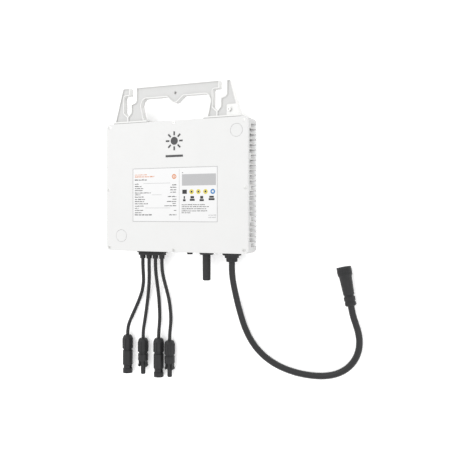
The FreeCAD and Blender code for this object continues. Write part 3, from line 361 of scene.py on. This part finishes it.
# how each of the record's slots looks
FINISHES = {
    # painted shade: every wall of the casting that does not look up, the side slots among them, is 0.8 times
    # as bright as the white
    "casting_white": lambda name: powder_coat(name, WHITE, shaded(WHITE, 0.8)),
    "cover_white": lambda name: powder_coat(name, WHITE),
    # the grey face is the bracket's own tone; its lighter walls and raised rim are painted light, and the
    # band below the seam's level is a painted shadow under the cover's edge
    "bracket_grey": lambda name: powder_coat(
        name, (0.48, 0.48, 0.475), (0.63, 0.63, 0.62), (33 * MM, 34 * MM), (109.7 * MM, 110.1 * MM)),
    # painted shade: the fill plugs' walls are dark grey, a shadow ring round each plug
    "plug_white": lambda name: powder_coat(name, shaded(WHITE, 0.99), PAINTED_RING_SHADE),
    "seal_rubber": lambda name: rubbery(name, (0.02, 0.02, 0.02)),
    "steel": lambda name: brushed(name, (0.55, 0.55, 0.54)),
    "label_film": lambda name: film(name, (0.575, 0.575, 0.575)),
    "emblem_ink": lambda name: ink(name, (0.04, 0.04, 0.042)),
    "black_plastic": lambda name: moulded(name, BLACK),
    "plug_plastic": lambda name: moulded(name, BLACK, 0.38, 0.56, 0.05 * MM),
    "antenna_rubber": lambda name: rubbery(name, BLACK),
    "cable_jacket": lambda name: jacket(name, BLACK),
    "membrane": lambda name: rubbery(name, (0.8, 0.8, 0.8), 0.7, 0.9),
    "tinned_metal": lambda name: brushed(name, (0.72, 0.71, 0.69), (14, 1, 14), (0.16, 0.3)),
    "board_green": lambda name: circuit_board(name, (0.02, 0.12, 0.05)),
    "ferrite": lambda name: moulded(name, (0.06, 0.06, 0.065), 0.5, 0.7),
    "copper_wire": lambda name: winding(name, (0.62, 0.27, 0.11)),
    "can_sleeve": lambda name: moulded(name, (0.04, 0.04, 0.09), 0.25, 0.35, 0.01 * MM),
    "film_yellow": lambda name: moulded(name, (0.7, 0.45, 0.06), 0.3, 0.42, 0.02 * MM),
    "relay_case": lambda name: moulded(name, (0.06, 0.14, 0.36), 0.3, 0.42, 0.02 * MM),
    "chip_black": lambda name: moulded(name, (0.025, 0.025, 0.027)),
    "pad_grey": lambda name: rubbery(name, (0.35, 0.37, 0.4)),
    "terminal_green": lambda name: moulded(name, (0.06, 0.32, 0.12), 0.35, 0.5, 0.02 * MM),
    "radio_shield": lambda name: brushed(name, (0.6, 0.6, 0.58)),
}


def make_finishes():
    """One material for each of the record's slots."""
    return {name: make(name + "_look") for name, make in FINISHES.items()}


def paint(thing, material):
    """Make a material the only one of a piece."""
    slots = thing.data.materials
    slots.clear()
    slots.append(material)


def paint_nodes(finishes):
    """Give every CAD node the finish of its slot in the record."""
    for entry in frame["record"]["subparts"]:
        paint(NODES[entry["node"]], finishes[entry["material_slot"]])


# ---- print on the rating label -------------------------------------------------------------

LABEL_LEVEL = 38 * MM
INK_THICK = 0.03 * MM
INKS = {
    "dark": (0.012, 0.012, 0.013), "grey": (0.34, 0.34, 0.345), "pale": (0.27, 0.27, 0.27),
    "orange": (0.5, 0.17, 0.05), "yellow": (0.5, 0.42, 0.03), "blue": (0.05, 0.17, 0.36),
}
# everything below is in millimetres; headings give level along Y, end along X, stroke height, ink
HEADINGS = [(20.2, -50.9, 1.5, "orange"), (16.9, -36.1, 2, "orange"), (11.7, -50.9, 2.2, "dark")]
# rows of names (level, end along X) and of values (level, start along X)
ROW_NAMES = [
    (4.7, -66), (0.7, -60.2), (-2.8, -57.1), (-6.2, -60.2), (-10.3, -43.7), (-13.4, -63.4), (-17.3, -57.6),
    (-21.3, -55.3), (-24.8, -56.7), (-28.6, -48.6), (-32.5, -57.1), (-36.2, -66.9), (-39.7, -58.5),
    (-43.7, -60.7),
]
ROW_VALUES = [
    (2.3, -3.1), (-1.6, -6.2), (-5.9, -6.2), (-9.7, -6.2), (-16.9, -11.1), (-21.3, -2.2), (-25, -12.9),
    (-28.3, -2.2), (-32.1, -17.4), (-39.7, 0.5), (-47.2, -8.5),
]
# rules (level, start, end) and lines of notes (level, end)
RULES = [(5.5, -57.6, -6.7), (-13.8, -41.5, -22.7), (-35.8, -54, -6.7)]
NOTES = [(-30.6, 57.1), (-33.8, 63.2), (-37.2, 59.9), (-40.7, 61.1), (-43.7, 31.7)]
COLUMN_LEFT = -74.5
COLUMN_RIGHT = 4.9
NOTES_LEFT = 14.7
ROW_HIGH = 1.7
NOTE_HIGH = 1.6
STROKE_WIDTHS = (0.6, 0.8, 1.1)
STROKE_HEIGHTS = (0.72, 0.72, 1)
STROKE_GAP = 0.25
WORD_LENGTHS = (3, 9)
WORD_GAP = 0.9
# the label's edge line: left, right, bottom, top and its width
FRAME = (-78.4, 79, -58.7, 30.7)
FRAME_LINE = 0.6
DIVIDER = (10, 10.5)
DIVIDER_SHORT = 3
RULE_HALF = 0.25
# the two rows of plain marks
DISC_LEVEL = -9.5
DISC_PLACES = (32.9, 45.3, 58)
BLUE_DISC_PLACE = 71
# left, right and bottom of each tile, whose upper part is narrower
TILES = ((17.2, 22, -25), (29.7, 38.6, -24.4), (47.4, 55.1, -25), (63.6, 74.1, -23.6))
TILE_TOP = -16.6


class Ink:
    """Flat shapes in one colour of print, gathered into one thin piece; places are in millimetres."""

    def __init__(self, color):
        self.color = color
        self.mesh = bmesh.new()

    def shape(self, corners):
        """A thin slab with the given corners, anticlockwise."""
        low, high = ([self.mesh.verts.new((x * MM, y * MM, level)) for x, y in corners]
                     for level in (LABEL_LEVEL - 0.01 * MM, LABEL_LEVEL + INK_THICK))
        self.mesh.faces.new(low[::-1])
        self.mesh.faces.new(high)
        for index, corner in enumerate(low):
            beside = (index + 1) % len(low)
            self.mesh.faces.new((corner, low[beside], high[beside], high[index]))

    def bar(self, left, right, bottom, top):
        """An upright rectangle."""
        self.shape([(left, bottom), (right, bottom), (right, top), (left, top)])

    def ring(self, x, y, outer, inner, sides=28):
        """A flat ring, or a disc if the inner radius is small."""
        turns = [math.tau * index / sides for index in range(sides + 1)]
        for start, end in zip(turns, turns[1:]):
            self.shape([(x + radius * math.cos(turn), y + radius * math.sin(turn))
                        for radius, turn in ((inner, start), (outer, start), (outer, end), (inner, end))])

    def line_of_strokes(self, left, right, level, high, dice):
        """Small upright strokes in word-like groups: print that says nothing."""
        x = left
        while x < right - 0.6:
            word_end = min(right, x + dice.uniform(*WORD_LENGTHS))
            while x < word_end - 0.4:
                wide = dice.choice(STROKE_WIDTHS)
                tall = high * dice.choice(STROKE_HEIGHTS)
                self.bar(x, x + wide, level - high / 2, level - high / 2 + tall)
                x += wide + STROKE_GAP
            x += WORD_GAP

    def finish(self):
        """Turn the shapes into a piece that rides on the inverter."""
        name = "label_print_" + self.color
        data = bpy.data.meshes.new(name)
        self.mesh.to_mesh(data)
        self.mesh.free()
        piece = bpy.data.objects.new(name, data)
        bpy.context.scene.collection.objects.link(piece)
        paint(piece, ink(name + "_look", INKS[self.color]))
        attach(piece, "inverter")


def print_frame(pale):
    """A thin line round the label, a divider and the rules between groups of rows."""
    left, right, bottom, top = FRAME
    pale.bar(left, right, bottom, bottom + FRAME_LINE)
    pale.bar(left, right, top - FRAME_LINE, top)
    pale.bar(left, left + FRAME_LINE, bottom + FRAME_LINE, top - FRAME_LINE)
    pale.bar(right - FRAME_LINE, right, bottom + FRAME_LINE, top - FRAME_LINE)
    pale.bar(*DIVIDER, bottom + DIVIDER_SHORT, top - DIVIDER_SHORT)
    for level, start, end in RULES:
        pale.bar(start, end, level - RULE_HALF, level + RULE_HALF)


def print_rows(inks, dice):
    """The rating rows: names on the left, values on the right, notes in the second column."""
    for level, end, high, color in HEADINGS:
        inks[color].line_of_strokes(COLUMN_LEFT, end, level, high, dice)
    for level, end in ROW_NAMES:
        inks["dark"].line_of_strokes(COLUMN_LEFT, end, level, ROW_HIGH, dice)
    inks["dark"].line_of_strokes(COLUMN_LEFT, -41.5, -47.2, 2.3, dice)
    for level, start in ROW_VALUES:
        inks["dark"].line_of_strokes(start, COLUMN_RIGHT, level, ROW_HIGH, dice)
    for level, end in NOTES:
        inks["dark"].line_of_strokes(NOTES_LEFT, end, level, NOTE_HIGH, dice)
    inks["grey"].line_of_strokes(63.2, 76.5, -47.6, 2, dice)
    inks["grey"].line_of_strokes(63.2, 76.5, -51.2, 2, dice)


def print_marks(inks):
    """Plain marks: an orange ring, a grey block and two rows of discs and tiles."""
    inks["orange"].ring(0.7, 16.1, 4.1, 2.6)
    inks["orange"].bar(-0.2, 1.6, 13.9, 18.3)
    inks["grey"].bar(15.3, 76.6, 0.6, 19.4)
    inks["dark"].ring(16.4, 21.9, 0.8, 0.01, 12)
    inks["dark"].bar(16, 24.3, -12.9, -6)
    for x in DISC_PLACES:
        inks["yellow"].ring(x, DISC_LEVEL, 4, 1.9)
        inks["dark"].ring(x, DISC_LEVEL, 1.7, 0.01, 16)
    inks["blue"].ring(BLUE_DISC_PLACE, DISC_LEVEL, 4.2, 1.7)
    for left, right, bottom in TILES:
        inks["dark"].bar(left, right, bottom, bottom + 3.2)
        inks["dark"].bar(left + 1.2, right - 1.2, bottom + 3.9, TILE_TOP)


def print_label():
    """The label's print, one thin piece for each ink."""
    dice = random.Random(7)
    inks = {color: Ink(color) for color in INKS}
    print_frame(inks["pale"])
    print_rows(inks, dice)
    print_marks(inks)
    for piece in inks.values():
        piece.finish()


# ---- softer edges on the CAD nodes ---------------------------------------------------------

# how wide each node's sharp edges are rounded, in millimetres
EDGE_WIDTHS = {
    "rear_housing": 0.45, "mounting_bracket": 0.4, "dc_gland_block": 0.3, "front_cover": 0.15,
    "antenna_base": 0.3, "ac_gland_body": 0.3, "ac_gland_nut": 0.3, "vent_plug": 0.2,
    "connector_back_nut": 0.3, "connector_housing": 0.3, "ground_screw": 0.2, "ground_washer": 0.12,
    "bracket_screws": 0.3, "cover_screws": 0.15, "fill_plugs": 0.3,
}


def soften(node, width):
    """Round a node's sharp edges a little, as casting, moulding and paint do."""
    weld = node.modifiers.new("weld", "WELD")
    weld.merge_threshold = 0.001 * MM
    bevel = node.modifiers.new("bevel", "BEVEL")
    bevel.width = width
    bevel.segments = 2
    bevel.limit_method = "ANGLE"
    bevel.angle_limit = math.radians(35)
    bevel.miter_outer = "MITER_ARC"
    normals = node.modifiers.new("normals", "WEIGHTED_NORMAL")
    normals.weight = 80


def soften_nodes():
    for name, width in EDGE_WIDTHS.items():
        soften(NODES[name], width * MM)


# ---- light and floor -----------------------------------------------------------------------

TABLE_GLOW = 0.2
SURROUND_STRENGTH = 1.3


def make_area_light(name, place, size, power, aim=(0.08, -0.08, 0)):
    """A round soft light that faces the middle of the object and its leads."""
    data = bpy.data.lights.new(name, "AREA")
    data.shape = "DISK"
    data.size = size
    data.energy = power
    light = bpy.data.objects.new(name, data)
    light.location = place
    away = [there - here for here, there in zip(aim, place)]
    tilt = math.atan2(math.hypot(away[0], away[1]), away[2])
    light.rotation_euler = (0, tilt, math.atan2(away[1], away[0]))
    bpy.context.scene.collection.objects.link(light)


def make_studio():
    """A pale light table under the inverter, a white surround and two soft lights."""
    bpy.ops.mesh.primitive_plane_add(size=12, location=(0, 0, -0.1 * MM))
    floor = bpy.context.object
    floor.name = "floor"
    surface = Surface("floor_paper", specular=0.2)
    surface.color(surface.mixed(surface.noise(6, 3), (0.93, 0.93, 0.93), (0.95, 0.95, 0.95)))
    surface.roughness(surface.noise(30, 3), 0.7, 0.85)
    surface.bump((surface.noise(500, 3), 0.05 * MM))
    surface.shader.inputs["Emission Color"].default_value = (1, 1, 1, 1)
    surface.shader.inputs["Emission Strength"].default_value = TABLE_GLOW
    paint(floor, surface.material)

    world = bpy.data.worlds.new("surround")
    world.use_nodes = True
    world.node_tree.nodes["Background"].inputs["Color"].default_value = (1, 1, 1, 1)
    world.node_tree.nodes["Background"].inputs["Strength"].default_value = SURROUND_STRENGTH
    bpy.context.scene.world = world
    bpy.context.scene.view_settings.view_transform = "Standard"
    make_area_light("key", (-0.9, 0.7, 1.5), 1.6, 10)
    make_area_light("fill", (1.3, -0.7, 1.4), 1.6, 5)


make_camera()
leads = make_leads()
finishes = make_finishes()
paint_nodes(finishes)
for lead in leads:
    paint(lead, finishes["cable_jacket"])
print_label()
soften_nodes()
make_studio()
